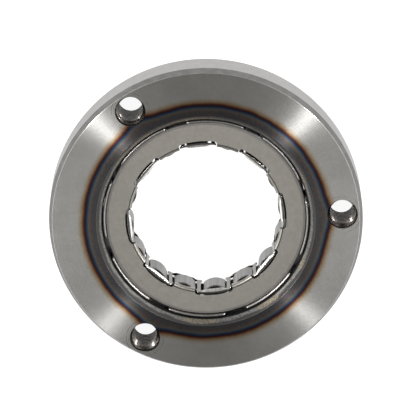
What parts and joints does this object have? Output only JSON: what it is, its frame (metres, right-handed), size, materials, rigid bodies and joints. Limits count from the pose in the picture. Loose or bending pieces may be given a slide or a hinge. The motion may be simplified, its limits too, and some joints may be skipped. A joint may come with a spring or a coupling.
{
  "type": "starter clutch",
  "caption": "One-way sprag clutch for an engine's electric start: hardened ring with tapped holes, caged sprags and a strip spring in its bore.",
  "frame": {"origin": "centre of the clutch on its back face, the one it lies on", "axes": "+Z along the clutch axis, out of the front face; +X 3.3 degrees short of the first tapped hole"},
  "size_m": [0.088, 0.088, 0.0144],
  "materials": {
    "race_steel": "turned",
    "cage_steel": "matte",
    "spring_steel": "polished",
    "sprag_steel": "satin"
  },
  "bodies": {
    "race": {"outer_race": "race_steel"},
    "cage": {"cage_front_plate": "cage_steel", "cage_rear_plate": "cage_steel", "meander_spring": "spring_steel"},
    "sprag_01": {"sprag_01": "sprag_steel"},
    "sprag_02": {"sprag_02": "sprag_steel"},
    "sprag_03": {"sprag_03": "sprag_steel"},
    "sprag_04": {"sprag_04": "sprag_steel"},
    "sprag_05": {"sprag_05": "sprag_steel"},
    "sprag_06": {"sprag_06": "sprag_steel"},
    "sprag_07": {"sprag_07": "sprag_steel"},
    "sprag_08": {"sprag_08": "sprag_steel"},
    "sprag_09": {"sprag_09": "sprag_steel"},
    "sprag_10": {"sprag_10": "sprag_steel"},
    "sprag_11": {"sprag_11": "sprag_steel"},
    "sprag_12": {"sprag_12": "sprag_steel"},
    "sprag_13": {"sprag_13": "sprag_steel"},
    "sprag_14": {"sprag_14": "sprag_steel"},
    "sprag_15": {"sprag_15": "sprag_steel"},
    "sprag_16": {"sprag_16": "sprag_steel"}
  },
  "joints": [
    {"name": "cage_spin", "type": "hinge", "parent": "race", "child": "cage", "pos_m": [0, 0, 0.0057], "axis": [0, 0, 1], "continuous": true},
    {"name": "sprag_01_tilt", "type": "hinge", "parent": "cage", "child": "sprag_01", "pos_m": [0.0245, 0.00177, 0.0057], "axis": [0, 0, 1], "range_deg": [-15, 3], "stiffness_Nm_per_rad": 0.02},
    {"name": "sprag_02_tilt", "type": "hinge", "parent": "cage", "child": "sprag_02", "pos_m": [0.02196, 0.01101, 0.0057], "axis": [0, 0, 1], "range_deg": [-15, 3], "stiffness_Nm_per_rad": 0.02},
    {"name": "sprag_03_tilt", "type": "hinge", "parent": "cage", "child": "sprag_03", "pos_m": [0.01607, 0.01858, 0.0057], "axis": [0, 0, 1], "range_deg": [-15, 3], "stiffness_Nm_per_rad": 0.02},
    {"name": "sprag_04_tilt", "type": "hinge", "parent": "cage", "child": "sprag_04", "pos_m": [0.00774, 0.02332, 0.0057], "axis": [0, 0, 1], "range_deg": [-15, 3], "stiffness_Nm_per_rad": 0.02},
    {"name": "sprag_05_tilt", "type": "hinge", "parent": "cage", "child": "sprag_05", "pos_m": [-0.00177, 0.0245, 0.0057], "axis": [0, 0, 1], "range_deg": [-15, 3], "stiffness_Nm_per_rad": 0.02},
    {"name": "sprag_06_tilt", "type": "hinge", "parent": "cage", "child": "sprag_06", "pos_m": [-0.01101, 0.02196, 0.0057], "axis": [0, 0, 1], "range_deg": [-15, 3], "stiffness_Nm_per_rad": 0.02},
    {"name": "sprag_07_tilt", "type": "hinge", "parent": "cage", "child": "sprag_07", "pos_m": [-0.01858, 0.01607, 0.0057], "axis": [0, 0, 1], "range_deg": [-15, 3], "stiffness_Nm_per_rad": 0.02},
    {"name": "sprag_08_tilt", "type": "hinge", "parent": "cage", "child": "sprag_08", "pos_m": [-0.02332, 0.00774, 0.0057], "axis": [0, 0, 1], "range_deg": [-15, 3], "stiffness_Nm_per_rad": 0.02},
    {"name": "sprag_09_tilt", "type": "hinge", "parent": "cage", "child": "sprag_09", "pos_m": [-0.0245, -0.00177, 0.0057], "axis": [0, 0, 1], "range_deg": [-15, 3], "stiffness_Nm_per_rad": 0.02},
    {"name": "sprag_10_tilt", "type": "hinge", "parent": "cage", "child": "sprag_10", "pos_m": [-0.02196, -0.01101, 0.0057], "axis": [0, 0, 1], "range_deg": [-15, 3], "stiffness_Nm_per_rad": 0.02},
    {"name": "sprag_11_tilt", "type": "hinge", "parent": "cage", "child": "sprag_11", "pos_m": [-0.01607, -0.01858, 0.0057], "axis": [0, 0, 1], "range_deg": [-15, 3], "stiffness_Nm_per_rad": 0.02},
    {"name": "sprag_12_tilt", "type": "hinge", "parent": "cage", "child": "sprag_12", "pos_m": [-0.00774, -0.02332, 0.0057], "axis": [0, 0, 1], "range_deg": [-15, 3], "stiffness_Nm_per_rad": 0.02},
    {"name": "sprag_13_tilt", "type": "hinge", "parent": "cage", "child": "sprag_13", "pos_m": [0.00177, -0.0245, 0.0057], "axis": [0, 0, 1], "range_deg": [-15, 3], "stiffness_Nm_per_rad": 0.02},
    {"name": "sprag_14_tilt", "type": "hinge", "parent": "cage", "child": "sprag_14", "pos_m": [0.01101, -0.02196, 0.0057], "axis": [0, 0, 1], "range_deg": [-15, 3], "stiffness_Nm_per_rad": 0.02},
    {"name": "sprag_15_tilt", "type": "hinge", "parent": "cage", "child": "sprag_15", "pos_m": [0.01858, -0.01607, 0.0057], "axis": [0, 0, 1], "range_deg": [-15, 3], "stiffness_Nm_per_rad": 0.02},
    {"name": "sprag_16_tilt", "type": "hinge", "parent": "cage", "child": "sprag_16", "pos_m": [0.02332, -0.00774, 0.0057], "axis": [0, 0, 1], "range_deg": [-15, 3], "stiffness_Nm_per_rad": 0.02}
  ],
  "couplings": [
    {"joint": "sprag_02_tilt", "follows": "sprag_01_tilt", "ratio": 1},
    {"joint": "sprag_03_tilt", "follows": "sprag_01_tilt", "ratio": 1},
    {"joint": "sprag_04_tilt", "follows": "sprag_01_tilt", "ratio": 1},
    {"joint": "sprag_05_tilt", "follows": "sprag_01_tilt", "ratio": 1},
    {"joint": "sprag_06_tilt", "follows": "sprag_01_tilt", "ratio": 1},
    {"joint": "sprag_07_tilt", "follows": "sprag_01_tilt", "ratio": 1},
    {"joint": "sprag_08_tilt", "follows": "sprag_01_tilt", "ratio": 1},
    {"joint": "sprag_09_tilt", "follows": "sprag_01_tilt", "ratio": 1},
    {"joint": "sprag_10_tilt", "follows": "sprag_01_tilt", "ratio": 1},
    {"joint": "sprag_11_tilt", "follows": "sprag_01_tilt", "ratio": 1},
    {"joint": "sprag_12_tilt", "follows": "sprag_01_tilt", "ratio": 1},
    {"joint": "sprag_13_tilt", "follows": "sprag_01_tilt", "ratio": 1},
    {"joint": "sprag_14_tilt", "follows": "sprag_01_tilt", "ratio": 1},
    {"joint": "sprag_15_tilt", "follows": "sprag_01_tilt", "ratio": 1},
    {"joint": "sprag_16_tilt", "follows": "sprag_01_tilt", "ratio": 1}
  ]
}
